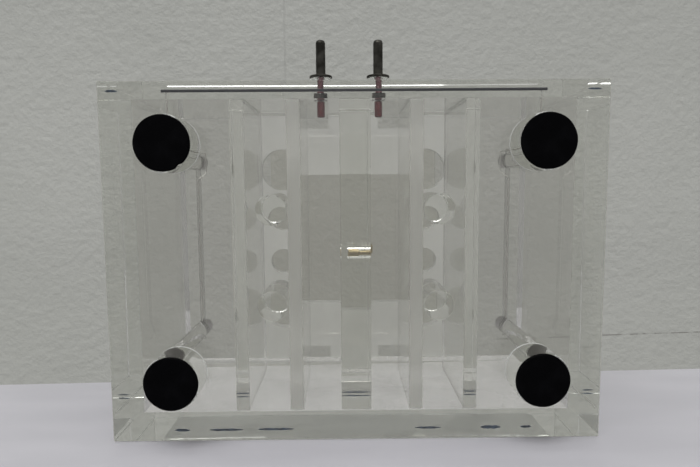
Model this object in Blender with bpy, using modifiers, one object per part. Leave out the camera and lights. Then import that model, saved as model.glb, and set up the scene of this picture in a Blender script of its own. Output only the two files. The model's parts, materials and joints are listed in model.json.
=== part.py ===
"""Gel electrophoresis tank: a clear acrylic box for horizontal gels.

The tank stands on four feet on the plane z = 0.  +X runs along its length, from
the left reservoir to the right one.  +Y points to the back wall, which carries the
two plug pins.  +Z is up, out of the open top.  The tank is modelled about the middle
of its box and then moved as a whole, so that the origin lies on the resting plane,
under the middle of the space that the box and its plug pins take up.

Pieces that touch keep a fitting gap, FIT, between them.
"""
import math

import bmesh
import bpy
from mathutils import Matrix, Vector

MM = 0.001

# Driving sizes -----------------------------------------------------------------
TANK_LENGTH = 204.0 * MM        # along X, over the end walls
TANK_WIDTH = 148.0 * MM         # along Y, over the front and back walls
TANK_HEIGHT = 78.0 * MM         # from the underside of the base plate to the rim
END_WALL = 12.0 * MM            # wall thicknesses
FRONT_WALL = 11.0 * MM
BACK_WALL = 6.5 * MM
BASE_PLATE = 6.0 * MM
INNER_PLATE = 5.7 * MM          # cross walls and deck supports
CENTRE_RIB = 12.7 * MM
FIT = 0.3 * MM                  # gap between pieces that touch
EDGE = 0.3 * MM                 # polished edge of the acrylic pieces

# Feet --------------------------------------------------------------------------
FOOT_RADIUS = 11.1 * MM
PAD_RADIUS = 10.7 * MM
FOOT_PAD = 1.6 * MM             # rubber pad
FOOT_BLOCK = 12.1 * MM          # clear block between the pad and the base plate
FOOT_X = 72.8 * MM
FOOT_Y = 46.5 * MM              # from the middle of the inside

# Heights -----------------------------------------------------------------------
BASE_Z = FOOT_PAD + FIT + FOOT_BLOCK + FIT
FLOOR_Z = BASE_Z + BASE_PLATE
WALL_Z = FLOOR_Z + FIT
RIM_Z = BASE_Z + TANK_HEIGHT
DECK_Z = BASE_Z + 57.0 * MM     # underside of the gel deck
DECK_THICKNESS = 5.0 * MM

# Inside of the box -------------------------------------------------------------
INNER_X = TANK_LENGTH / 2 - END_WALL
INNER_FRONT = -TANK_WIDTH / 2 + FRONT_WALL
INNER_BACK = TANK_WIDTH / 2 - BACK_WALL
INNER_MIDDLE = (INNER_FRONT + INNER_BACK) / 2
INNER_WIDTH = INNER_BACK - INNER_FRONT
CROSS_WALL_X = 48.2 * MM
SUPPORT_X = 25.2 * MM

# Round pegs on the floor, under the deck ---------------------------------------
PEG_RADIUS = 6.5 * MM
PEG_HEIGHT = 28.0 * MM
PEG_X = 34.9 * MM
PEG_Y = 20.2 * MM

# Gel deck ----------------------------------------------------------------------
DECK_LENGTH = 103.0 * MM        # along X, over both cross walls
DECK_WIDTH = INNER_WIDTH - 7.0 * MM
DECK_MIDDLE = INNER_BACK - 0.75 * MM - DECK_WIDTH / 2   # pushed up to the back wall
WINDOW_X = 61.0 * MM
WINDOW_Y = 65.0 * MM
WINDOW_CORNER = 8.0 * MM
HOLE_X = 35.8 * MM
BIG_HOLE_Y = 35.0 * MM
BIG_HOLE_RADIUS = 10.2 * MM
SMALL_HOLE_Y = 10.9 * MM
SMALL_HOLE_RADIUS = 6.1 * MM
NOTCH_INNER = 12.3 * MM         # grips at the front and back edges
NOTCH_OUTER = 27.5 * MM
NOTCH_DEPTH = 6.5 * MM

# Gel tray ----------------------------------------------------------------------
TRAY_LENGTH = 84.0 * MM         # along X, open at both ends
TRAY_WIDTH = 104.0 * MM
TRAY_FLOOR = 3.0 * MM
TRAY_SIDE = 3.0 * MM
TRAY_HEIGHT = 12.5 * MM
COMB_SLOT_WIDTH = 1.6 * MM
COMB_SLOT_DEPTH = 5.0 * MM
COMB_SLOTS = (-34.0 * MM, 2.0 * MM)

# Plug pins ---------------------------------------------------------------------
PLUG_X = 12.0 * MM              # each side of the pair's middle
PLUG_MIDDLE = 2.0 * MM
PLUG_Z = BASE_Z + 13.7 * MM
PIN_RADIUS = 2.0 * MM
PIN_LENGTH = 14.5 * MM
PIN_SLOT = 0.5 * MM
PIN_SLOT_DEPTH = 9.0 * MM
COLLAR_RADIUS = 4.75 * MM
COLLAR_THICKNESS = 0.9 * MM
WASHER_RADIUS = 4.6 * MM        # clear washer between the collar and the wall
WASHER_THICKNESS = 2.6 * MM
SHANK_RADIUS = 1.4 * MM
SHANK_PAST_NUT = 0.5 * MM
THREAD_PITCH = 1.2 * MM
POCKET_RADIUS = 3.9 * MM        # pocket for the nut, from the inner face
POCKET_DEPTH = 2.9 * MM
NUT_ACROSS_FLATS = 5.5 * MM
NUT_THICKNESS = 2.0 * MM
SLEEVE_RADIUS = 1.6 * MM
SLEEVE_LENGTH = 6.6 * MM

# Lead channel along the foot of the back wall ------------------------------------
CHANNEL_Y = 70.8 * MM
CHANNEL_WIDTH = 1.8 * MM
CHANNEL_DEPTH = 3.4 * MM
CHANNEL_END = 78.5 * MM
SEAL_SIZE = 1.1 * MM
LEAD_RADIUS = 0.45 * MM
LEAD_Z = WALL_Z + 2.3 * MM

# Electrodes --------------------------------------------------------------------
ELECTRODE_X = 76.5 * MM
POST_RADIUS = 3.75 * MM
POST_Y = 41.5 * MM
POST_TOP = BASE_Z + 58.0 * MM
BAR_RADIUS = 1.2 * MM
BAR_Z = POST_TOP - 4.5 * MM
BAR_OVERHANG = 2.0 * MM
WIRE_RADIUS = 0.25 * MM

# Brass screw and its insert in the centre rib ------------------------------------
SCREW_Y = 0.8 * MM
SCREW_Z = DECK_Z - 7.5 * MM
SCREW_RADIUS = 1.5 * MM
SCREW_HEAD_RADIUS = 3.2 * MM
SCREW_HEAD = 2.4 * MM
SCREW_LENGTH = 9.0 * MM
INSERT_RADIUS = 2.6 * MM
INSERT_LENGTH = 5.4 * MM
INSERT_BORE_END = 3.4 * MM      # X of the blind end of the rib's bore

SIDES = (("left", -1), ("right", 1))
ENDS = (("front", -1), ("back", 1))
ROUND_STEPS = 36                # sides of the large round pieces
FINE_STEPS = 24                 # sides of the small round pieces


# Scene and materials -----------------------------------------------------------
def clear_scene():
    for old in list(bpy.data.objects):
        bpy.data.objects.remove(old, do_unlink=True)


def new_collection(name):
    collection = bpy.data.collections.new(name)
    bpy.context.scene.collection.children.link(collection)
    return collection


def new_material(name, colour, roughness, metallic=0.0, clear=0.0):
    material = bpy.data.materials.new(name)
    material.use_nodes = True
    shader = material.node_tree.nodes["Principled BSDF"]
    shader.inputs["Base Color"].default_value = (*colour, 1.0)
    shader.inputs["Roughness"].default_value = roughness
    shader.inputs["Metallic"].default_value = metallic
    shader.inputs["Transmission Weight"].default_value = clear
    shader.inputs["IOR"].default_value = 1.49
    material.diffuse_color = (*colour, 1.0 - 0.6 * clear)
    return material


clear_scene()
PARTS = new_collection("gel_electrophoresis_tank")
CUTTERS = new_collection("cutters")

ACRYLIC = new_material("clear_acrylic", (0.86, 0.88, 0.86), 0.05, clear=1.0)
SAWN_ACRYLIC = new_material("sawn_edge_acrylic", (0.78, 0.79, 0.78), 0.35, clear=0.7)
HAZY_ACRYLIC = new_material("hazy_acrylic", (0.84, 0.85, 0.83), 0.2, clear=0.85)
RUBBER = new_material("black_rubber", (0.012, 0.013, 0.015), 0.75)
PIN_METAL = new_material("dull_nickel", (0.22, 0.21, 0.18), 0.32, metallic=1.0)
NUT_METAL = new_material("nickel_nut", (0.30, 0.29, 0.28), 0.35, metallic=1.0)
RED_PLASTIC = new_material("red_insulation", (0.20, 0.012, 0.020), 0.4)
BLACK_WIRE = new_material("black_insulation", (0.012, 0.012, 0.016), 0.45)
CLEAR_WIRE = new_material("clear_insulation", (0.80, 0.80, 0.77), 0.25, clear=0.8)
PLATINUM = new_material("platinum", (0.62, 0.61, 0.58), 0.25, metallic=1.0)
BRASS = new_material("brass", (0.62, 0.42, 0.14), 0.28, metallic=1.0)


# Modelling helpers -------------------------------------------------------------
def adopt(obj, name, collection, material=None):
    """Name a new object, move it into its collection and give it its material."""
    obj.name = name
    obj.data.name = name
    for old in list(obj.users_collection):
        old.objects.unlink(obj)
    collection.objects.link(obj)
    if material is not None:
        obj.data.materials.clear()
        obj.data.materials.append(material)
    return obj


def bevel(obj, width, segments=2):
    modifier = obj.modifiers.new("edges", "BEVEL")
    modifier.width = width
    modifier.segments = segments
    modifier.limit_method = "ANGLE"
    modifier.angle_limit = math.radians(40)
    return modifier


def smooth(obj):
    obj.data.shade_smooth()
    obj.data.set_sharp_from_angle(angle=math.radians(35))


def box(name, low, high, material, edge=EDGE):
    """A block between two corners, with narrow polished edges."""
    size = Vector(high) - Vector(low)
    bpy.ops.mesh.primitive_cube_add(size=1.0, location=(Vector(low) + Vector(high)) / 2)
    obj = adopt(bpy.context.object, name, PARTS, material)
    obj.data.transform(Matrix.Diagonal((*size, 1.0)))
    if edge:
        bevel(obj, edge)
    return obj


def cylinder(name, centre, radius, length, material, axis="Z", edge=0.0, steps=ROUND_STEPS):
    turns = {"X": (0, math.pi / 2, 0), "Y": (math.pi / 2, 0, 0), "Z": (0, 0, 0)}
    bpy.ops.mesh.primitive_cylinder_add(vertices=steps, radius=radius, depth=length,
                                        location=centre, rotation=turns[axis])
    obj = adopt(bpy.context.object, name, PARTS, material)
    smooth(obj)
    if edge:
        bevel(obj, edge, segments=1)
    return obj


def as_cutter(obj):
    adopt(obj, obj.name, CUTTERS)
    obj.hide_render = True
    obj.display_type = "WIRE"
    return obj


def cut(target, cutter):
    modifier = target.modifiers.new("cut_" + cutter.name, "BOOLEAN")
    modifier.operation = "DIFFERENCE"
    modifier.solver = "EXACT"
    modifier.object = as_cutter(cutter)


def turned(name, profile, material, location, rotation, steps=ROUND_STEPS):
    """Turn a profile of (radius, height) points, listed top to bottom, about local Z."""
    mesh = bpy.data.meshes.new(name)
    shape = bmesh.new()
    points = [shape.verts.new((radius, 0.0, height)) for radius, height in profile]
    for first, second in zip(points, points[1:]):
        shape.edges.new((first, second))
    shape.to_mesh(mesh)
    shape.free()
    obj = bpy.data.objects.new(name, mesh)
    bpy.context.scene.collection.objects.link(obj)
    adopt(obj, name, PARTS, material)
    obj.location = location
    obj.rotation_euler = rotation
    screw = obj.modifiers.new("turn", "SCREW")
    screw.axis = "Z"
    screw.steps = steps
    screw.render_steps = steps
    screw.use_merge_vertices = True
    screw.merge_threshold = 0.00001
    screw.use_smooth_shade = True
    return obj


def wire(name, points, radius, material):
    """A round wire along a list of points."""
    curve = bpy.data.curves.new(name, "CURVE")
    curve.dimensions = "3D"
    curve.bevel_depth = radius
    curve.bevel_resolution = 1
    curve.use_fill_caps = True
    spline = curve.splines.new("POLY")
    spline.points.add(len(points) - 1)
    for target, point in zip(spline.points, points):
        target.co = (*point, 1.0)
    obj = bpy.data.objects.new(name, curve)
    bpy.context.scene.collection.objects.link(obj)
    return adopt(obj, name, PARTS, material)


def rounded_path(corners, radius, steps=6):
    """Points along straight runs whose corners are rounded with short arcs."""
    points = [Vector(corners[0])]
    for before, corner, after in zip(corners, corners[1:], corners[2:]):
        corner = Vector(corner)
        start = corner + (Vector(before) - corner).normalized() * radius
        end = corner + (Vector(after) - corner).normalized() * radius
        for step in range(steps + 1):
            t = step / steps
            points.append(start * (1 - t) ** 2 + corner * 2 * t * (1 - t) + end * t ** 2)
    points.append(Vector(corners[-1]))
    return points


# Tank body ---------------------------------------------------------------------
def make_box():
    half_x = TANK_LENGTH / 2
    half_y = TANK_WIDTH / 2
    box("base_plate", (-half_x, -half_y, BASE_Z), (half_x, half_y, FLOOR_Z), ACRYLIC)
    box("front_wall", (-half_x, -half_y, WALL_Z), (half_x, INNER_FRONT, RIM_Z), ACRYLIC)
    make_back_wall()
    for side, sign in SIDES:
        inner = sign * INNER_X
        outer = sign * half_x
        box(side + "_end_wall", (min(inner, outer), INNER_FRONT + FIT, WALL_Z),
            (max(inner, outer), INNER_BACK - FIT, RIM_Z), ACRYLIC)


def make_back_wall():
    """The back wall, with holes and nut pockets for the plugs and the lead channel."""
    half_x = TANK_LENGTH / 2
    half_y = TANK_WIDTH / 2
    wall = box("back_wall", (-half_x, INNER_BACK, WALL_Z), (half_x, half_y, RIM_Z), ACRYLIC)
    below = WALL_Z - 1.0 * MM
    channel_top = WALL_Z + CHANNEL_DEPTH
    cut(wall, box("channel_cutter", (-CHANNEL_END, CHANNEL_Y - CHANNEL_WIDTH / 2, below),
                  (CHANNEL_END, CHANNEL_Y + CHANNEL_WIDTH / 2, channel_top), None, edge=0))
    for side, sign in SIDES:
        middle = sign * ELECTRODE_X
        cut(wall, box(side + "_outlet_cutter",
                      (middle - CHANNEL_WIDTH / 2, INNER_BACK - 1.0 * MM, below),
                      (middle + CHANNEL_WIDTH / 2, CHANNEL_Y, channel_top), None, edge=0))
        plug_x = PLUG_MIDDLE + sign * PLUG_X
        cut(wall, cylinder(side + "_shank_cutter", (plug_x, half_y, PLUG_Z),
                           SHANK_RADIUS + FIT, 4 * BACK_WALL, None, axis="Y"))
        pocket_middle = INNER_BACK + POCKET_DEPTH / 2 - 0.5 * MM
        cut(wall, cylinder(side + "_pocket_cutter", (plug_x, pocket_middle, PLUG_Z),
                           POCKET_RADIUS, POCKET_DEPTH + 1.0 * MM, None, axis="Y"))


def make_inner_plates():
    """Plates that stand across the tank: cross walls, deck supports and the rib."""
    low_y = INNER_FRONT + FIT
    high_y = INNER_BACK - FIT
    top = DECK_Z - FIT

    def plate(name, middle, thickness, material):
        return box(name, (middle - thickness / 2, low_y, WALL_Z),
                   (middle + thickness / 2, high_y, top), material)

    for side, sign in SIDES:
        plate(side + "_cross_wall", sign * CROSS_WALL_X, INNER_PLATE, ACRYLIC)
        plate(side + "_deck_support", sign * SUPPORT_X, INNER_PLATE, SAWN_ACRYLIC)
    rib = plate("centre_rib", 0.0, CENTRE_RIB, ACRYLIC)
    past_face = -CENTRE_RIB
    bore_middle = ((INSERT_BORE_END + past_face) / 2, SCREW_Y, SCREW_Z)
    cut(rib, cylinder("screw_bore_cutter", bore_middle, INSERT_RADIUS + FIT,
                      INSERT_BORE_END - past_face, None, axis="X", steps=FINE_STEPS))


def make_pegs():
    for end, forward in ENDS:
        for side, sign in SIDES:
            y = INNER_MIDDLE + forward * PEG_Y
            centre = (sign * PEG_X, y, WALL_Z + PEG_HEIGHT / 2)
            cylinder(f"floor_peg_{end}_{side}", centre, PEG_RADIUS, PEG_HEIGHT, ACRYLIC,
                     edge=EDGE)


def make_feet():
    block_z = FOOT_PAD + FIT + FOOT_BLOCK / 2
    for end, forward in ENDS:
        for side, sign in SIDES:
            x = sign * FOOT_X
            y = INNER_MIDDLE + forward * FOOT_Y
            cylinder(f"foot_block_{end}_{side}", (x, y, block_z), FOOT_RADIUS, FOOT_BLOCK,
                     ACRYLIC, edge=EDGE)
            cylinder(f"foot_pad_{end}_{side}", (x, y, FOOT_PAD / 2), PAD_RADIUS, FOOT_PAD,
                     RUBBER, edge=0.35 * MM)


# Deck and tray -----------------------------------------------------------------
def rounded_window_cutter():
    """A block with rounded upright corners, for the window of the deck."""
    middle = DECK_Z + DECK_THICKNESS / 2
    low = (-WINDOW_X / 2, DECK_MIDDLE - WINDOW_Y / 2, middle - DECK_THICKNESS)
    high = (WINDOW_X / 2, DECK_MIDDLE + WINDOW_Y / 2, middle + DECK_THICKNESS)
    window = box("window_cutter", low, high, None, edge=0)
    shape = bmesh.new()
    shape.from_mesh(window.data)
    upright = [edge for edge in shape.edges
               if abs(edge.verts[0].co.z - edge.verts[1].co.z) > DECK_THICKNESS]
    bmesh.ops.bevel(shape, geom=upright, offset=WINDOW_CORNER, segments=8, profile=0.5,
                    affect="EDGES")
    shape.to_mesh(window.data)
    shape.free()
    return window


def make_deck():
    """The lift-out deck that carries the gel tray, with its window, holes and notches."""
    half_y = DECK_WIDTH / 2
    top = DECK_Z + DECK_THICKNESS
    deck = box("gel_deck", (-DECK_LENGTH / 2, DECK_MIDDLE - half_y, DECK_Z),
               (DECK_LENGTH / 2, DECK_MIDDLE + half_y, top), HAZY_ACRYLIC)
    cut(deck, rounded_window_cutter())
    holes = ((BIG_HOLE_Y, BIG_HOLE_RADIUS, "big"), (SMALL_HOLE_Y, SMALL_HOLE_RADIUS, "small"))
    for end, forward in ENDS:
        for side, sign in SIDES:
            for offset, radius, size in holes:
                centre = (sign * HOLE_X, DECK_MIDDLE + forward * offset, DECK_Z)
                cut(deck, cylinder(f"{size}_hole_cutter_{end}_{side}", centre, radius,
                                   4 * DECK_THICKNESS, None))
            near = sign * NOTCH_INNER
            far = sign * NOTCH_OUTER
            edge_y = DECK_MIDDLE + forward * half_y
            stop_y = edge_y - forward * NOTCH_DEPTH
            past_y = edge_y + forward * NOTCH_DEPTH
            cut(deck, box(f"notch_cutter_{end}_{side}",
                          (min(near, far), min(stop_y, past_y), DECK_Z - DECK_THICKNESS),
                          (max(near, far), max(stop_y, past_y), top + DECK_THICKNESS),
                          None, edge=0))


def make_tray():
    """The gel tray: a floor with two low sides, open at both ends, with comb slots."""
    low_z = DECK_Z + DECK_THICKNESS + FIT
    high_z = low_z + TRAY_HEIGHT
    half_y = TRAY_WIDTH / 2
    half_x = TRAY_LENGTH / 2
    tray = box("gel_tray", (-half_x, DECK_MIDDLE - half_y, low_z),
               (half_x, DECK_MIDDLE + half_y, high_z), ACRYLIC, edge=0)
    past = 1.0 * MM
    cut(tray, box("tray_cutter",
                  (-half_x - past, DECK_MIDDLE - half_y + TRAY_SIDE, low_z + TRAY_FLOOR),
                  (half_x + past, DECK_MIDDLE + half_y - TRAY_SIDE, high_z + past), None, edge=0))
    for number, slot_x in enumerate(COMB_SLOTS):
        cut(tray, box(f"comb_slot_cutter_{number}",
                      (slot_x - COMB_SLOT_WIDTH / 2, DECK_MIDDLE - half_y - past,
                       high_z - COMB_SLOT_DEPTH),
                      (slot_x + COMB_SLOT_WIDTH / 2, DECK_MIDDLE + half_y + past,
                       high_z + past), None, edge=0))
    bevel(tray, 0.25 * MM, segments=1)


# Terminals and leads -----------------------------------------------------------
def pin_profile():
    """Pin, collar and threaded shank, from the free end inwards."""
    collar_top = COLLAR_THICKNESS
    tip = collar_top + PIN_LENGTH
    profile = [
        (0.0, tip),
        (PIN_RADIUS * 0.55, tip),
        (PIN_RADIUS * 0.85, tip - 0.35 * MM),
        (PIN_RADIUS, tip - 1.2 * MM),
        (PIN_RADIUS, collar_top),
        (COLLAR_RADIUS - 0.25 * MM, collar_top),
        (COLLAR_RADIUS, collar_top - 0.25 * MM),
        (COLLAR_RADIUS, 0.0),
    ]
    nut_end = -(FIT + WASHER_THICKNESS + FIT + BACK_WALL - POCKET_DEPTH + FIT + NUT_THICKNESS)
    shank_end = nut_end - SHANK_PAST_NUT
    height = 0.0
    while height > shank_end + THREAD_PITCH:
        profile.append((SHANK_RADIUS - 0.25 * MM, height))
        profile.append((SHANK_RADIUS, height - THREAD_PITCH / 2))
        height -= THREAD_PITCH
    profile.append((SHANK_RADIUS - 0.25 * MM, height))
    profile.append((SHANK_RADIUS - 0.25 * MM, shank_end))
    profile.append((0.0, shank_end))
    return profile


def make_terminals():
    """Per side: a split plug pin, its washer, its nut in the wall pocket and a red sleeve."""
    outer_face = TANK_WIDTH / 2
    pocket_floor = INNER_BACK + POCKET_DEPTH
    collar_foot = outer_face + FIT + WASHER_THICKNESS + FIT
    pointing_back = (-math.pi / 2, 0.0, 0.0)
    for side, sign in SIDES:
        x = PLUG_MIDDLE + sign * PLUG_X
        pin = turned(f"{side}_plug_pin", pin_profile(), PIN_METAL,
                     (x, collar_foot, PLUG_Z), pointing_back, steps=FINE_STEPS)
        tip_y = collar_foot + COLLAR_THICKNESS + PIN_LENGTH
        cut(pin, box(f"{side}_split_cutter",
                     (x - 2 * PIN_RADIUS, tip_y - PIN_SLOT_DEPTH, PLUG_Z - PIN_SLOT / 2),
                     (x + 2 * PIN_RADIUS, tip_y + PIN_RADIUS, PLUG_Z + PIN_SLOT / 2),
                     None, edge=0))
        bored = (
            ("washer", outer_face + FIT + WASHER_THICKNESS / 2, WASHER_RADIUS,
             WASHER_THICKNESS, ACRYLIC, FINE_STEPS),
            ("nut", pocket_floor - FIT - NUT_THICKNESS / 2, NUT_ACROSS_FLATS / math.sqrt(3),
             NUT_THICKNESS, NUT_METAL, 6),
        )
        for kind, middle, radius, thickness, material, steps in bored:
            ring = cylinder(f"{side}_plug_{kind}", (x, middle, PLUG_Z), radius, thickness,
                            material, axis="Y", edge=0.2 * MM, steps=steps)
            cut(ring, cylinder(f"{side}_{kind}_bore_cutter", (x, middle, PLUG_Z),
                               SHANK_RADIUS + FIT, 3 * thickness, None, axis="Y",
                               steps=FINE_STEPS))
            if steps == 6:
                ring.data.shade_flat()
        nut_end = pocket_floor - FIT - NUT_THICKNESS
        sleeve_start = nut_end - SHANK_PAST_NUT - FIT
        cylinder(f"{side}_plug_sleeve", (x, sleeve_start - SLEEVE_LENGTH / 2, PLUG_Z),
                 SLEEVE_RADIUS, SLEEVE_LENGTH, RED_PLASTIC, axis="Y", edge=0.4 * MM,
                 steps=FINE_STEPS)


def make_leads():
    """Insulated leads in the wall channel, and the strip that seals them in."""
    half = SEAL_SIZE / 2
    box("channel_seal", (-CHANNEL_END + FIT, CHANNEL_Y - half, WALL_Z + FIT),
        (CHANNEL_END - FIT, CHANNEL_Y + half, WALL_Z + FIT + SEAL_SIZE), BLACK_WIRE,
        edge=0.2 * MM)
    start = PLUG_X + NUT_ACROSS_FLATS / math.sqrt(3) + FIT + LEAD_RADIUS
    end_y = INNER_BACK + FIT
    for side, sign in SIDES:
        route = [
            (PLUG_MIDDLE + sign * start, CHANNEL_Y, LEAD_Z),
            (sign * ELECTRODE_X, CHANNEL_Y, LEAD_Z),
            (sign * ELECTRODE_X, end_y, LEAD_Z),
        ]
        wire(f"{side}_lead", rounded_path(route, 1.2 * MM), LEAD_RADIUS, CLEAR_WIRE)


# Electrodes --------------------------------------------------------------------
def make_electrodes():
    """Per reservoir: two posts, the bar between them and the platinum wire."""
    bar_half = POST_Y + POST_RADIUS + BAR_OVERHANG
    for side, sign in SIDES:
        x = sign * ELECTRODE_X
        for end, forward in ENDS:
            y = INNER_MIDDLE + forward * POST_Y
            post = cylinder(f"{side}_electrode_post_{end}", (x, y, (WALL_Z + POST_TOP) / 2),
                            POST_RADIUS, POST_TOP - WALL_Z, ACRYLIC, edge=EDGE, steps=FINE_STEPS)
            cut(post, cylinder(f"{side}_{end}_bar_cutter", (x, y, BAR_Z), BAR_RADIUS + FIT,
                               4 * POST_RADIUS, None, axis="Y", steps=FINE_STEPS))
        cylinder(f"{side}_electrode_bar", (x, INNER_MIDDLE, BAR_Z), BAR_RADIUS, 2 * bar_half,
                 HAZY_ACRYLIC, axis="Y", edge=0.3 * MM, steps=FINE_STEPS)
        make_electrode_wire(side, x, sign)


def make_electrode_wire(side, x, sign):
    """Platinum wire: from the lead, up beside the back post, then along the bar."""
    beside = x - sign * (POST_RADIUS + FIT + WIRE_RADIUS)
    back_y = INNER_MIDDLE + POST_Y
    outside_post = back_y + POST_RADIUS + FIT + WIRE_RADIUS
    under_bar = BAR_Z - BAR_RADIUS - FIT - WIRE_RADIUS
    inside_post = back_y - POST_RADIUS - 1.5 * MM
    far_end = INNER_MIDDLE - POST_Y + POST_RADIUS + FIT
    route = [
        (x, INNER_BACK - FIT, LEAD_Z),
        (x, outside_post + 4.0 * MM, LEAD_Z),
        (beside, outside_post, LEAD_Z + 4.0 * MM),
        (beside, outside_post, under_bar),
        (beside, inside_post, under_bar),
        (x, inside_post - 3.0 * MM, under_bar),
        (x, far_end, under_bar),
    ]
    points = rounded_path(route, 0.9 * MM, steps=3)
    wire(f"{side}_electrode_wire", points, WIRE_RADIUS, PLATINUM)


# Brass screw in the rib ----------------------------------------------------------
def make_rib_screw():
    """A brass screw in the left face of the centre rib, and the insert that it goes into."""
    face = CENTRE_RIB / 2 + FIT
    middle = INSERT_BORE_END - FIT - INSERT_LENGTH / 2
    insert = cylinder("rib_insert", (middle, SCREW_Y, SCREW_Z), INSERT_RADIUS, INSERT_LENGTH,
                      BRASS, axis="X", edge=0.5 * MM, steps=FINE_STEPS)
    cut(insert, cylinder("insert_bore_cutter", (middle, SCREW_Y, SCREW_Z), SCREW_RADIUS + FIT,
                         2 * INSERT_LENGTH, None, axis="X", steps=FINE_STEPS))
    tip = face - SCREW_LENGTH
    profile = [
        (0.0, face + SCREW_HEAD),
        (SCREW_HEAD_RADIUS * 0.6, face + SCREW_HEAD),
        (SCREW_HEAD_RADIUS, face + SCREW_HEAD * 0.55),
        (SCREW_HEAD_RADIUS, face),
        (SCREW_RADIUS, face),
        (SCREW_RADIUS, tip + 0.4 * MM),
        (SCREW_RADIUS - 0.4 * MM, tip),
        (0.0, tip),
    ]
    pointing_left = (0.0, -math.pi / 2, 0.0)
    turned("rib_screw", profile, BRASS, (0, SCREW_Y, SCREW_Z), pointing_left,
           steps=FINE_STEPS)


def move_to_origin():
    """Move the tank back by half of what the pins add, so the origin is in the middle."""
    overhang = FIT + WASHER_THICKNESS + FIT + COLLAR_THICKNESS + PIN_LENGTH
    for obj in list(PARTS.objects) + list(CUTTERS.objects):
        obj.location.y -= overhang / 2


make_box()
make_inner_plates()
make_pegs()
make_feet()
make_deck()
make_tray()
make_terminals()
make_leads()
make_electrodes()
make_rib_screw()
move_to_origin()
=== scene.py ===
import json
import math
import random

import bmesh
import bpy
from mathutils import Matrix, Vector


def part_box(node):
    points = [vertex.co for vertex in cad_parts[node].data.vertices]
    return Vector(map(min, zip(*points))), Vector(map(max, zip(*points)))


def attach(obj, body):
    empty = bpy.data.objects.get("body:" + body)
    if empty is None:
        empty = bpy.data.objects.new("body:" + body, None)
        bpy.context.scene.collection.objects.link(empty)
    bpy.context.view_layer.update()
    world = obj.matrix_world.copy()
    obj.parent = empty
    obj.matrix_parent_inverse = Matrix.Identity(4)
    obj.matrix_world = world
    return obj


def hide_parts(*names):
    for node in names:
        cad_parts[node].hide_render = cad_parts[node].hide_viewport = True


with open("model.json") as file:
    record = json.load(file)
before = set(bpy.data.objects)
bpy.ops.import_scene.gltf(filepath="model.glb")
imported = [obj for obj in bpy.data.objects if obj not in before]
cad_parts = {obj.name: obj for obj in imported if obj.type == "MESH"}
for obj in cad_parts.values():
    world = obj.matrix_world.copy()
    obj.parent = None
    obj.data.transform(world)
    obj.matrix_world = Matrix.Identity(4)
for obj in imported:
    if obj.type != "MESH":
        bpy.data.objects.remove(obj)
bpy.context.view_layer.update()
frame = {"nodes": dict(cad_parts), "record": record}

MM = 0.001
NODES = frame["nodes"]


# Node helpers ------------------------------------------------------------------
MIX_FACTOR, MIX_FIRST, MIX_SECOND, MIX_COLOUR = 0, 6, 7, 2      # sockets of a colour mix


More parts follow.
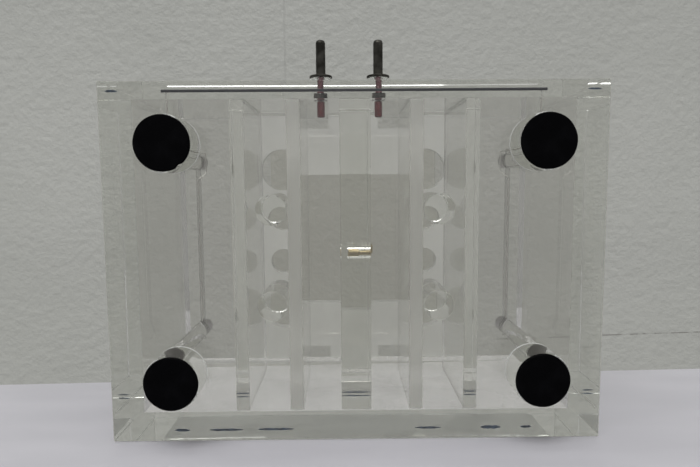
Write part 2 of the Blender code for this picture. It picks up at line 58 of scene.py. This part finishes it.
class Shader:
    """A material, with short calls to add and join its nodes."""

    def __init__(self, name):
        self.material = bpy.data.materials.new(name)
        self.material.use_nodes = True
        self.tree = self.material.node_tree
        self.tree.nodes.clear()
        self.output = self.tree.nodes.new("ShaderNodeOutputMaterial")
        self.position = self.add("ShaderNodeTexCoord").outputs["Object"]

    def add(self, kind, **settings):
        node = self.tree.nodes.new(kind)
        for key, value in settings.items():
            setattr(node, key, value)
        return node

    def link(self, source, target):
        self.tree.links.new(source, target)

    def give(self, node, **values):
        """Set or join inputs by name; an underscore stands for a space."""
        for key, value in values.items():
            socket = node.inputs[key.replace("_", " ")]
            if isinstance(value, bpy.types.NodeSocket):
                self.link(value, socket)
            else:
                socket.default_value = value
        return node

    def place(self):
        """The x, y and z of a point of the surface."""
        split = self.add("ShaderNodeSeparateXYZ")
        self.link(self.position, split.inputs[0])
        return split.outputs

    def stretched(self, scale, turn=(0.0, 0.0, 0.0)):
        mapping = self.add("ShaderNodeMapping")
        self.give(mapping, Vector=self.position, Scale=scale, Rotation=turn)
        return mapping.outputs["Vector"]

    def noise(self, scale, detail=3.0, vector=None, rough=0.5):
        node = self.add("ShaderNodeTexNoise")
        self.give(node, Vector=vector or self.position, Scale=scale, Detail=detail,
                  Roughness=rough)
        return node.outputs["Fac"]

    def specks(self, scale, size, edge):
        """1 in small round specks of that size, falling to 0 at their edge."""
        node = self.add("ShaderNodeTexVoronoi")
        self.give(node, Vector=self.position, Scale=scale)
        return self.ramp(node.outputs["Distance"], edge, size)

    def ramp(self, value, low, high, out_low=0.0, out_high=1.0):
        """A value from low to high mapped to out_low to out_high, and held beyond them."""
        node = self.add("ShaderNodeMapRange", clamp=True)
        self.link(value, node.inputs["Value"])
        for key, number in (("From Min", low), ("From Max", high),
                            ("To Min", out_low), ("To Max", out_high)):
            node.inputs[key].default_value = number
        return node.outputs["Result"]

    def maths(self, operation, first, second=0.0):
        node = self.add("ShaderNodeMath", operation=operation)
        for socket, value in zip(node.inputs, (first, second)):
            if isinstance(value, bpy.types.NodeSocket):
                self.link(value, socket)
            else:
                socket.default_value = value
        return node.outputs["Value"]

    def mix(self, factor, first, second):
        """A blend of two colours, the second one where factor is 1."""
        node = self.add("ShaderNodeMix", data_type="RGBA")
        self.link(factor, node.inputs[MIX_FACTOR])
        for key, value in ((MIX_FIRST, first), (MIX_SECOND, second)):
            if isinstance(value, bpy.types.NodeSocket):
                self.link(value, node.inputs[key])
            else:
                node.inputs[key].default_value = (*value, 1.0)
        return node.outputs[MIX_COLOUR]

    def bump(self, height, strength, distance):
        node = self.add("ShaderNodeBump")
        self.give(node, Height=height, Strength=strength, Distance=distance)
        return node.outputs["Normal"]

    def facing(self, axis):
        """How far the surface faces along a world axis, from -1 to 1."""
        split = self.add("ShaderNodeSeparateXYZ")
        self.link(self.add("ShaderNodeNewGeometry").outputs["Normal"], split.inputs[0])
        return split.outputs[axis]

    def surface(self, **values):
        shader = self.add("ShaderNodeBsdfPrincipled")
        self.give(shader, **values)
        self.link(shader.outputs[0], self.output.inputs["Surface"])
        return shader

    def lit_through(self, colour):
        """Let lamp light pass straight through the surface, tinted by colour."""
        mix = self.add("ShaderNodeMixShader")
        clear = self.add("ShaderNodeBsdfTransparent")
        self.give(clear, Color=(*colour, 1.0))
        self.link(self.add("ShaderNodeLightPath").outputs["Is Shadow Ray"], mix.inputs[0])
        self.link(self.output.inputs["Surface"].links[0].from_socket, mix.inputs[1])
        self.link(clear.outputs[0], mix.inputs[2])
        self.link(mix.outputs[0], self.output.inputs["Surface"])

    def absorb(self, colour, density):
        volume = self.add("ShaderNodeVolumeAbsorption")
        volume.inputs["Color"].default_value = (*colour, 1.0)
        volume.inputs["Density"].default_value = density
        self.link(volume.outputs[0], self.output.inputs["Volume"])


# Materials ---------------------------------------------------------------------
PLATE_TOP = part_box("base_plate")[1].z
INNER_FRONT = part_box("front_wall")[1].y


def acrylic(name, tint=(0.985, 0.99, 0.98), haze=0.0, milk=0.0, ends=None, density=4.0,
            ior=1.49, box_body=False, end_milk=0.5, end_tint=(0.95, 0.95, 0.94)):
    """Clear acrylic: faint wipe marks, small scratches and dust, and a grey-green body.

    haze adds roughness everywhere. milk is the share of light that the surface scatters.
    ends is the axis whose faces are sawn: they are rougher, they scatter end_milk more,
    and they have the colour end_tint. density is that of the body. box_body darkens the
    base plate, most on its upper face, partly a real warm tint and partly painted shade
    standing for the tank's shadow on the wall seen through it, and leaves a pale film inside the
    front wall.
    """
    look = Shader(name)
    smear = look.noise(38.0, 4.0, look.stretched((1.0, 0.35, 1.0), (0.0, 0.0, 0.5)))
    scratches = look.noise(900.0, 2.0, look.stretched((0.05, 1.0, 1.0), (0.3, 0.2, 0.6)))
    scratch_mask = look.ramp(scratches, 0.66, 0.72)
    dust = look.specks(230.0, 0.0, 0.035)
    rough = look.ramp(smear, 0.45, 0.75, 0.002 + haze, 0.02 + haze * 1.6)
    rough = look.maths("ADD", rough, look.maths("MULTIPLY", scratch_mask, 0.05))
    rough = look.maths("ADD", rough, look.maths("MULTIPLY", dust, 0.07))
    clear = look.ramp(smear, 0.3, 0.75, 1.0 - milk * 0.8, 1.0 - milk * 1.2)
    if ends is not None:
        end = look.ramp(look.maths("ABSOLUTE", look.facing(ends)), 0.85, 0.95)
        rough = look.maths("ADD", rough, look.maths("MULTIPLY", end, 0.35))
        clear = look.maths("SUBTRACT", clear, look.maths("MULTIPLY", end, end_milk))
        tint = look.mix(end, tint, end_tint)
    clear = look.maths("SUBTRACT", clear, look.maths("MULTIPLY", dust, 0.12))
    if box_body:
        _, y, z = look.place()
        above = look.ramp(z, PLATE_TOP + 0.2 * MM, PLATE_TOP + 0.5 * MM)
        # painted shade: below its top face the base plate is darker and warmer, partly its real
        # warm tint and partly standing for the tank's shadow on the wall seen through it
        tint = look.mix(above, (0.87, 0.865, 0.84), tint)
        # painted shade: a thin, darker layer at the plate's upper face
        off_floor = look.maths("ABSOLUTE", look.maths("SUBTRACT", z, PLATE_TOP))
        tint = look.mix(look.ramp(off_floor, 0.15 * MM, 0.1 * MM), tint, (0.71, 0.70, 0.675))
        off_face = look.maths("ABSOLUTE", look.maths("SUBTRACT", y, INNER_FRONT))
        film = look.maths("MULTIPLY", look.ramp(off_face, 0.6 * MM, 0.3 * MM), above)
        film = look.maths("MULTIPLY", film, look.ramp(smear, 0.3, 0.7, 0.14, 0.3))
        clear = look.maths("SUBTRACT", clear, film)
    height = look.maths("ADD", look.noise(30.0, 1.0), look.maths("MULTIPLY", scratch_mask, 0.03))
    look.surface(Base_Color=look.mix(dust, tint, (0.84, 0.84, 0.81)), Roughness=rough,
                 Transmission_Weight=clear, IOR=ior, Normal=look.bump(height, 0.012, 0.002))
    look.lit_through((0.985, 0.985, 0.98))
    look.absorb((0.80, 0.82, 0.745), density)
    return look.material


def rubber():
    look = Shader("worn_black_rubber")
    grain = look.noise(2600.0, 3.0)
    worn = look.ramp(look.noise(140.0, 4.0), 0.48, 0.72)
    dust = look.specks(700.0, 0.02, 0.09)
    colour = look.mix(worn, (0.0006, 0.0006, 0.0009), (0.0018, 0.0018, 0.0023))
    colour = look.mix(look.maths("MULTIPLY", dust, 0.12), colour, (0.05, 0.05, 0.05))
    height = look.maths("ADD", grain, look.maths("MULTIPLY", look.noise(420.0, 2.0), 0.6))
    look.surface(Base_Color=colour, Roughness=look.ramp(grain, 0.3, 0.7, 0.55, 0.85),
                 Specular_IOR_Level=0.04, Normal=look.bump(height, 0.35, 0.0002))
    return look.material


def metal(name, colour, dark, roughness, spots=240.0, lacquer_below=None):
    """Dull turned metal. Below lacquer_below along Y it has dark pink thread lacquer."""
    look = Shader(name)
    cloud = look.noise(spots, 4.0)
    lathe = look.noise(3200.0, 2.0, look.stretched((0.08, 1.0, 0.08)))
    tone = look.mix(look.ramp(cloud, 0.38, 0.68), dark, colour)
    rough = look.ramp(cloud, 0.3, 0.7, roughness + 0.14, roughness - 0.04)
    bare = 1.0
    if lacquer_below is not None:
        bare = look.ramp(look.place()["Y"], lacquer_below - 0.1 * MM, lacquer_below)
        tone = look.mix(bare, (0.32, 0.13, 0.15), tone)
    look.surface(Base_Color=tone, Metallic=bare, Roughness=rough,
                 Normal=look.bump(lathe, 0.12, 0.0002))
    return look.material


def plastic(name, colour, second, roughness):
    look = Shader(name)
    cloud = look.noise(420.0, 3.0)
    rough = look.ramp(look.noise(900.0, 2.0), 0.3, 0.7, roughness - 0.08, roughness + 0.1)
    look.surface(Base_Color=look.mix(look.ramp(cloud, 0.35, 0.7), colour, second),
                 Roughness=rough,
                 Normal=look.bump(look.noise(1500.0, 2.0), 0.15, 0.0002))
    return look.material


CLEAR = acrylic("polished_clear_acrylic", milk=0.008)
BODY = acrylic("clear_box_acrylic", milk=0.02, density=4.5, box_body=True)
FOOT = acrylic("clear_foot_acrylic", ior=1.035)
SAWN = acrylic("clear_acrylic_sawn_ends", milk=0.03, ends=2, end_milk=0.22)
POST = acrylic("clear_post_acrylic", (0.95, 0.95, 0.94), ends=2, ior=1.16, end_milk=0.3,
               end_tint=(0.26, 0.25, 0.25))
MILKY = acrylic("milky_deck_acrylic", haze=0.01, milk=0.46)
TRAY = acrylic("amber_clear_acrylic", (0.93, 0.925, 0.89), haze=0.01, milk=0.02)
ROD = acrylic("hazed_rod_acrylic", (0.72, 0.72, 0.71), haze=0.1, milk=0.1, ior=1.12)
LEAD = acrylic("clear_lead_insulation", (0.88, 0.88, 0.86), haze=0.15, milk=0.15, ior=1.2)
RUBBER = rubber()
pin_from_world = NODES["left_plug_pin"].matrix_world.inverted()
collar_foot = (pin_from_world @ Vector((0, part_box("left_plug_washer")[1].y + 0.3 * MM, 0))).y
PIN = metal("darkened_nickel", (0.085, 0.082, 0.072), (0.03, 0.029, 0.025), 0.32,
            lacquer_below=collar_foot)
NUT = metal("dull_nickel_nut", (0.22, 0.21, 0.20), (0.10, 0.095, 0.09), 0.3)
BRASS = metal("turned_brass", (0.56, 0.47, 0.30), (0.38, 0.30, 0.17), 0.36)
PLATINUM = metal("platinum_wire", (0.78, 0.77, 0.74), (0.62, 0.61, 0.59), 0.4, 900.0)
RED = plastic("dark_red_plastic", (0.15, 0.004, 0.010), (0.10, 0.002, 0.006), 0.38)
BLACK = plastic("black_insulation", (0.010, 0.011, 0.018), (0.02, 0.021, 0.028), 0.4)

BY_SLOT = {
    "clear_acrylic": CLEAR,
    "sawn_edge_acrylic": SAWN,
    "hazy_acrylic": MILKY,
    "black_rubber": RUBBER,
    "dull_nickel": PIN,
    "nickel_nut": NUT,
    "red_insulation": RED,
    "black_insulation": BLACK,
    "clear_insulation": LEAD,
    "platinum": PLATINUM,
    "brass": BRASS,
}
SLOT_OF = {row["node"]: row["material_slot"] for row in frame["record"]["subparts"]}
for name, node in NODES.items():
    node.data.materials.clear()
    node.data.materials.append(BY_SLOT[SLOT_OF[name]])
special = {"gel_tray": TRAY}
for side in ("left", "right"):
    special[f"{side}_electrode_bar"] = ROD
    special[f"{side}_lead"] = LEAD
    for end in ("front", "back"):
        special[f"{side}_electrode_post_{end}"] = POST
for name, material in special.items():
    NODES[name].data.materials[0] = material


# Mesh helpers ------------------------------------------------------------------
def middle_and_size(node):
    low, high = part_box(node)
    return (low + high) / 2, high - low


def join_rings(shape, rings):
    """Faces between each ring of vertices and the next one."""
    for lower, upper in zip(rings, rings[1:]):
        for n in range(len(lower)):
            m = (n + 1) % len(lower)
            shape.faces.new((lower[n], lower[m], upper[m], upper[n]))


def finished(name, shape, material, at=(0.0, 0.0, 0.0)):
    """An object made of a bmesh, which is freed."""
    mesh = bpy.data.meshes.new(name)
    shape.to_mesh(mesh)
    shape.free()
    mesh.materials.append(material)
    obj = bpy.data.objects.new(name, mesh)
    bpy.context.scene.collection.objects.link(obj)
    obj.location = at
    return obj


# Finer round pieces ------------------------------------------------------------
def turned_piece(name, node, profile, material, sides=96, wobble=None):
    """A round piece that stands for a CAD node: rings of (radius, height) about +Z.

    wobble gives the share of the radius to keep at an angle.
    """
    centre = middle_and_size(node)[0]
    shape = bmesh.new()
    rings = []
    for radius, height in profile:
        ring = []
        for step in range(sides):
            angle = math.tau * step / sides
            reach = radius * (wobble(angle) if wobble else 1.0)
            ring.append(shape.verts.new((reach * math.cos(angle), reach * math.sin(angle),
                                         height)))
        rings.append(ring)
    join_rings(shape, rings)
    shape.faces.new(list(reversed(rings[0])))
    shape.faces.new(rings[-1])
    bmesh.ops.recalc_face_normals(shape, faces=shape.faces)
    obj = finished(name, shape, material, centre)
    obj.data.shade_smooth()
    obj.data.set_sharp_from_angle(angle=math.radians(35))
    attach(obj, "tank")
    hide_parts(node)


def chamfered(node, edge):
    """The profile of a round node whose two rims are cut off by edge."""
    size = middle_and_size(node)[1]
    radius, half = size.x / 2, size.z / 2
    return [(radius - edge, -half), (radius, -half + edge), (radius, half - edge),
            (radius - edge, half)]


WAVES = 4                       # in the outline of a hand-cut piece
DEEPEST_WAVE = 0.010            # as a share of the radius, and so is the chip's depth
CHIP_DEPTH = 0.07
CHIP_HALF_ANGLE = 0.16


def hand_cut(seed, chip=None):
    """A slightly uneven outline, with a small chip at an angle if one is given."""
    phases = [random.Random(seed + n).uniform(0.0, math.tau) for n in range(WAVES)]

    def keep(angle):
        dip = sum(0.5 + 0.5 * math.sin((2 * n + 3) * angle + phase)
                  for n, phase in enumerate(phases)) / WAVES
        share = 1.0 - DEEPEST_WAVE * dip
        if chip is not None:
            away = abs((angle - chip + math.pi) % math.tau - math.pi)
            share -= CHIP_DEPTH * max(0.0, 1.0 - away / CHIP_HALF_ANGLE)
        return share

    return keep


GLUE_RADIUS = 0.22 * MM


def glue_ring(name, node, steps=96, sides=8):
    """The thin bead of glue around a foot block, where it meets the base plate."""
    centre, size = middle_and_size(node)
    shape = bmesh.new()
    rings = []
    for step in range(steps):
        angle = math.tau * step / steps
        ring = []
        for turn in range(sides):
            tilt = math.tau * turn / sides
            reach = size.x / 2 - GLUE_RADIUS + GLUE_RADIUS * math.cos(tilt)
            ring.append(shape.verts.new((reach * math.cos(angle), reach * math.sin(angle),
                                         GLUE_RADIUS * math.sin(tilt))))
        rings.append(ring)
    join_rings(shape, rings + rings[:1])
    bmesh.ops.recalc_face_normals(shape, faces=shape.faces)
    obj = finished(name, shape, MILKY,
                   (centre.x, centre.y, centre.z + size.z / 2 + 0.02 * MM))
    obj.data.shade_smooth()
    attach(obj, "tank")


CORNERS = [(end, side) for end in ("front", "back") for side in ("left", "right")]
CHIPPED_PAD = ("back", "right")
CHIP_ANGLE = math.radians(234.0)
SEEDS_APART = 7
for number, (end, side) in enumerate(CORNERS):
    block = f"foot_block_{end}_{side}"
    turned_piece(f"clear_{block}", block, chamfered(block, 0.25 * MM), FOOT)
    glue_ring(f"glue_ring_{end}_{side}", block)
    pad = f"foot_pad_{end}_{side}"
    chip = CHIP_ANGLE if (end, side) == CHIPPED_PAD else None
    turned_piece(f"rubber_{pad}", pad, chamfered(pad, 0.3 * MM), RUBBER, sides=144,
                 wobble=hand_cut(number * SEEDS_APART, chip))
    peg = f"floor_peg_{end}_{side}"
    turned_piece(f"clear_{peg}", peg, chamfered(peg, 0.35 * MM), CLEAR)


# The glued box -----------------------------------------------------------------
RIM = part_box("left_end_wall")[1].z


def glued_box():
    """The base plate and the four walls as one clear body, as the glue joins them."""
    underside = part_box("base_plate")[0].z
    hollow_low = Vector((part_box("left_end_wall")[1].x, INNER_FRONT, PLATE_TOP))
    hollow_high = Vector((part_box("right_end_wall")[0].x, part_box("back_wall")[0].y, RIM))
    outer_low = Vector((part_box("left_end_wall")[0].x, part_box("front_wall")[0].y, underside))
    outer_high = Vector((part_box("right_end_wall")[1].x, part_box("back_wall")[1].y, RIM))
    shape = bmesh.new()

    def corners(lower, upper, z):
        return [shape.verts.new((x, y, z)) for x, y in
                ((lower.x, lower.y), (upper.x, lower.y), (upper.x, upper.y), (lower.x, upper.y))]

    foot = corners(outer_low, outer_high, outer_low.z)
    top = corners(outer_low, outer_high, RIM)
    mouth = corners(hollow_low, hollow_high, RIM)
    floor = corners(hollow_low, hollow_high, hollow_low.z)
    shape.faces.new(list(reversed(foot)))
    shape.faces.new(floor)
    join_rings(shape, (foot, top, mouth, floor))
    bmesh.ops.recalc_face_normals(shape, faces=shape.faces)
    around = [e for e in shape.edges if not any(v in floor for v in e.verts)]
    bmesh.ops.bevel(shape, geom=around, offset=0.3 * MM, segments=1, affect="EDGES")
    obj = finished("clear_glued_box", shape, BODY)
    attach(obj, "tank")
    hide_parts("base_plate", "front_wall", "back_wall", "left_end_wall", "right_end_wall")


glued_box()


# Painted shade in the joints: dark lines for shadows seen through the acrylic ---
def painted_shade():
    look = Shader("dark_blue_painted_shade")
    cloud = look.noise(700.0, 3.0)
    # painted shade: a blue-black that stands for shadow lines seen through the acrylic
    tone = look.mix(look.ramp(cloud, 0.35, 0.65), (0.012, 0.022, 0.04), (0.05, 0.085, 0.14))
    look.surface(Base_Color=tone, Roughness=look.ramp(cloud, 0.3, 0.7, 0.3, 0.6))
    return look.material


PAINTED_SHADE = painted_shade()
JOINT_Z = PLATE_TOP + 0.15 * MM
BEAD_HALF_HEIGHT = 0.08 * MM
BEAD_STEP = 0.6 * MM


def bead(name, start, end, width, seed):
    """A flat, uneven dark bead of painted shade in the joint above the base plate."""
    chance = random.Random(seed)
    first, last = Vector((*start, JOINT_Z)), Vector((*end, JOINT_Z))
    along = last - first
    across = Vector((-along.y, along.x, 0.0)).normalized()
    steps = max(4, round(along.length / BEAD_STEP))
    shape = bmesh.new()
    rows = []
    for step in range(steps + 1):
        part = step / steps
        taper = min(1.0, 3.0 * part + 0.25, 3.0 * (1.0 - part) + 0.25)
        half = width / 2 * taper * chance.uniform(0.65, 1.0)
        point = first + along * part + across * chance.uniform(-0.08, 0.08) * width
        rows.append([shape.verts.new(point + across * side * half
                                     + Vector((0, 0, level * BEAD_HALF_HEIGHT)))
                     for side, level in ((-1, -1), (1, -1), (1, 1), (-1, 1))])
    join_rings(shape, rows)
    shape.faces.new(rows[0])
    shape.faces.new(list(reversed(rows[-1])))
    bmesh.ops.recalc_face_normals(shape, faces=shape.faces)
    obj = finished(name, shape, PAINTED_SHADE)
    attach(obj, "tank")


def wall_line(node):
    """Where the middle of a wall's thickness lies along Y."""
    low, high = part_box(node)
    return (low.y + high.y) / 2


# each row is where a bead starts and ends along X, its line, and its width, in mm
front_y = wall_line("front_wall") - 2.5 * MM
back_y = wall_line("back_wall")
# painted shade: dark beads along the front and back walls, where only shadow lines are seen
# through the acrylic
BEADS = (
    (71.0, 77.5, front_y, 1.3), (48.5, 62.5, front_y, 1.2), (27.0, 42.0, front_y, 1.1),
    (-36.0, -25.0, front_y, 1.0), (-61.5, -53.0, front_y, 1.7), (-74.5, -70.0, front_y, 1.2),
    (95.5, 100.5, back_y, 1.2), (-100.0, -94.5, back_y, 1.0),
)
for number, (from_x, to_x, y, width) in enumerate(BEADS):
    bead(f"painted_shade_bead_{number}", (from_x * MM, y), (to_x * MM, y), width * MM, number)
# painted shade: two dark beads low in each upright plate, standing for shadow lines seen through
# it
PLATE_BEADS = ("left_end_wall", "left_cross_wall", "centre_rib", "right_cross_wall",
               "right_end_wall")
PLATE_BEAD_SEED = 40
PLATE_BEAD_RISE = 6.1 * MM      # from a wall's lower end to the first of its two beads
PLATE_BEAD_APART = 1.5 * MM
for number, node in enumerate(PLATE_BEADS):
    low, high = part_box(node)
    if "end_wall" in node:
        inner, outer = sorted((low.x, high.x), key=abs)
        low_x, high_x = sorted((inner + (outer - inner) * 0.5, inner + (outer - inner) * 0.9))
    else:
        low_x, high_x = low.x + 0.2 * MM, high.x - 0.2 * MM
    for line in range(2):
        y = low.y + PLATE_BEAD_RISE + line * PLATE_BEAD_APART
        bead(f"plate_shade_bead_{node}_{line}", (low_x, y), (high_x, y), 0.6 * MM,
             PLATE_BEAD_SEED + number + line)


# Stage -------------------------------------------------------------------------
def one_sided(shader, surface):
    """Show a surface from its front and let everything through from behind."""
    clear = shader.add("ShaderNodeBsdfTransparent")
    choice = shader.add("ShaderNodeMixShader")
    back = shader.add("ShaderNodeNewGeometry").outputs["Backfacing"]
    shader.link(back, choice.inputs[0])
    shader.link(surface.outputs[0], choice.inputs[1])
    shader.link(clear.outputs[0], choice.inputs[2])
    shader.link(choice.outputs[0], shader.output.inputs["Surface"])


BLOCK_JOINT_X = 52.0 * MM
GAP_Y = -112.5 * MM
GAP_SLOPE = 0.023
GAP_END_X = -125.0 * MM         # the gap runs from here towards lower X


def wall_material():
    look = Shader("painted_block_wall")
    pits = look.noise(170.0, 4.0, rough=0.55)
    lumps = look.noise(48.0, 3.0)
    height = look.maths("ADD", look.ramp(pits, 0.3, 0.7), look.maths("MULTIPLY", lumps, 0.8))
    patches = look.ramp(look.noise(9.0, 3.0), 0.3, 0.7)
    tone = look.mix(patches, (0.39, 0.395, 0.369), (0.418, 0.422, 0.397))
    # a filled upright joint between two blocks, and a broken hairline gap to the right
    x, y, _ = look.place()
    waver = look.maths("MULTIPLY", look.maths("SUBTRACT", look.noise(40.0, 4.0), 0.5), 1.6 * MM)
    off_joint = look.maths("SUBTRACT", look.maths("ADD", x, waver), BLOCK_JOINT_X)
    joint = look.ramp(look.maths("ABSOLUTE", off_joint), 1.1 * MM, 0.3 * MM)
    level = look.maths("ADD", y, look.maths("MULTIPLY", x, GAP_SLOPE))
    level = look.maths("ADD", level, look.maths("MULTIPLY", waver, 0.4))
    off_gap = look.maths("SUBTRACT", level, GAP_Y)
    gap = look.ramp(look.maths("ABSOLUTE", off_gap), 0.7 * MM, 0.25 * MM)
    gap = look.maths("MULTIPLY", gap, look.ramp(x, GAP_END_X + 5.0 * MM, GAP_END_X))
    gap = look.maths("MULTIPLY", gap, look.ramp(look.noise(130.0, 3.0), 0.42, 0.55, 0.25, 1.0))
    height = look.maths("SUBTRACT", height, look.maths("MULTIPLY", joint, 0.6))
    tone = look.mix(look.maths("MULTIPLY", joint, 0.18), tone, (0.25, 0.25, 0.24))
    tone = look.mix(look.maths("MULTIPLY", gap, 0.65), tone, (0.12, 0.11, 0.10))
    # painted shade: the wall is made darker towards its top, standing for less light falling on
    # its upper part
    tone = look.mix(look.ramp(y, 0.0, 0.35, 0.0, 0.45), tone, (0.21, 0.214, 0.20))
    surface = look.surface(Base_Color=tone, Roughness=0.6, Normal=look.bump(height, 0.32, 0.0016))
    one_sided(look, surface)
    return look.material


def edge_fade(look, value, low, high):
    """1 between low and high, falling to 0 near them."""
    inside = look.maths("MINIMUM", look.maths("SUBTRACT", value, low),
                        look.maths("SUBTRACT", high, value))
    return look.ramp(inside, 1.0 * MM, 8.0 * MM)


POOL_PAST_RIM = 50.0 * MM


def table_material():
    look = Shader("pale_bench_top")
    streak = look.noise(60.0, 3.0, look.stretched((0.25, 1.0, 1.0)))
    tone = look.mix(look.ramp(streak, 0.35, 0.7), (0.49, 0.483, 0.515), (0.528, 0.52, 0.552))
    # painted pool of light: the bench glows under the clear box, standing for light that the box
    # gathers and throws on the bench under it
    x, _, z = look.place()
    low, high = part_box("base_plate")
    painted_light_pool = look.maths("MULTIPLY", edge_fade(look, x, low.x, high.x),
                      edge_fade(look, z, low.z, RIM + POOL_PAST_RIM))
    painted_light_pool = look.maths("MULTIPLY", painted_light_pool, look.ramp(look.noise(45.0, 3.0), 0.3, 0.7, 0.24, 0.36))
    surface = look.surface(Base_Color=tone, Roughness=look.ramp(streak, 0.3, 0.7, 0.35, 0.5),
                           Emission_Color=(0.99, 0.985, 1.0, 1.0), Emission_Strength=painted_light_pool,
                           Normal=look.bump(look.noise(600.0, 3.0), 0.08, 0.0004))
    one_sided(look, surface)
    return look.material


def plane(name, corners, material):
    mesh = bpy.data.meshes.new(name)
    mesh.from_pydata(corners, [], [tuple(range(len(corners)))])
    obj = bpy.data.objects.new(name, mesh)
    bpy.context.scene.collection.objects.link(obj)
    obj.data.materials.append(material)


SPAN = 1.6
WALL_Z = 0.25
BENCH_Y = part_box("front_wall")[0].y - 0.3 * MM
NEAR_EDGE = -0.07
FAR_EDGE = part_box("base_plate")[0].z + 75.3 * MM
EDGE_SLANT = 0.037 * SPAN       # the bench's far edge isn't quite square to the tank
plane("bench_top", [(-SPAN, BENCH_Y, NEAR_EDGE), (-SPAN, BENCH_Y, FAR_EDGE + EDGE_SLANT),
                    (SPAN, BENCH_Y, FAR_EDGE - EDGE_SLANT), (SPAN, BENCH_Y, NEAR_EDGE)],
      table_material())
plane("block_wall", [(-SPAN, -SPAN, WALL_Z), (-SPAN, SPAN, WALL_Z),
                     (SPAN, SPAN, WALL_Z), (SPAN, -SPAN, WALL_Z)], wall_material())


# Light and camera --------------------------------------------------------------
def area_light(name, location, target, size, power):
    data = bpy.data.lights.new(name, "AREA")
    data.shape = "RECTANGLE"
    data.size, data.size_y = size
    data.energy = power
    lamp = bpy.data.objects.new(name, data)
    bpy.context.scene.collection.objects.link(lamp)
    lamp.location = location
    lamp.rotation_euler = (Vector(target) - Vector(location)).to_track_quat("-Z", "Y").to_euler()
    return lamp


scene = bpy.context.scene
world = bpy.data.worlds.new("soft_room")
world.use_nodes = True
sky = world.node_tree
background = sky.nodes["Background"]
background.inputs["Color"].default_value = (1.0, 1.0, 1.0, 1.0)
direction = sky.nodes.new("ShaderNodeTexCoord")
split = sky.nodes.new("ShaderNodeSeparateXYZ")
glow = sky.nodes.new("ShaderNodeMapRange")      # a little brighter on the side of the pins
sky.links.new(direction.outputs["Generated"], split.inputs[0])
sky.links.new(split.outputs["Y"], glow.inputs["Value"])
for key, number in (("From Min", 0.0), ("From Max", 1.0), ("To Min", 0.34), ("To Max", 0.74)):
    glow.inputs[key].default_value = number
sky.links.new(glow.outputs["Result"], background.inputs["Strength"])
scene.world = world
fill = area_light("room_fill", (0.0, 0.1, -2.5), (0.0, 0.0, 0.1), (3.2, 2.0), 20.0)
fill.data.cycles.use_multiple_importance_sampling = False
fill.visible_glossy = False     # no image of this lamp in or through the acrylic
fill.visible_transmission = False
area_light("ceiling_panel", (0.4, 2.4, -1.2), (0.0, 0.0, 0.05), (1.9, 0.7), 36.0)
area_light("overhead_panel", (0.3, 1.9, -0.3), (0.0, 0.0, 0.03), (1.4, 0.4), 6.0)

camera_data = bpy.data.cameras.new("photo_view")
camera_data.lens = 28.18
camera_data.sensor_width = 36.0
camera_data.clip_start = 0.005
camera_data.clip_end = 20.0
camera = bpy.data.objects.new("photo_view", camera_data)
scene.collection.objects.link(camera)
camera.location = (4.2 * MM, 24.4 * MM, -207.1 * MM)
camera.rotation_euler = tuple(math.radians(a) for a in (174.65, 0.52, -179.59))
scene.camera = camera

scene.view_settings.view_transform = "Standard"
scene.cycles.max_bounces = 40
scene.cycles.transmission_bounces = 40
scene.cycles.glossy_bounces = 32
scene.cycles.transparent_max_bounces = 64
scene.cycles.diffuse_bounces = 4
scene.cycles.sample_clamp_direct = 8.0
scene.cycles.sample_clamp_indirect = 3.0
scene.cycles.caustics_refractive = False    # lit_through lets the lamps' light in instead
scene.cycles.caustics_reflective = False
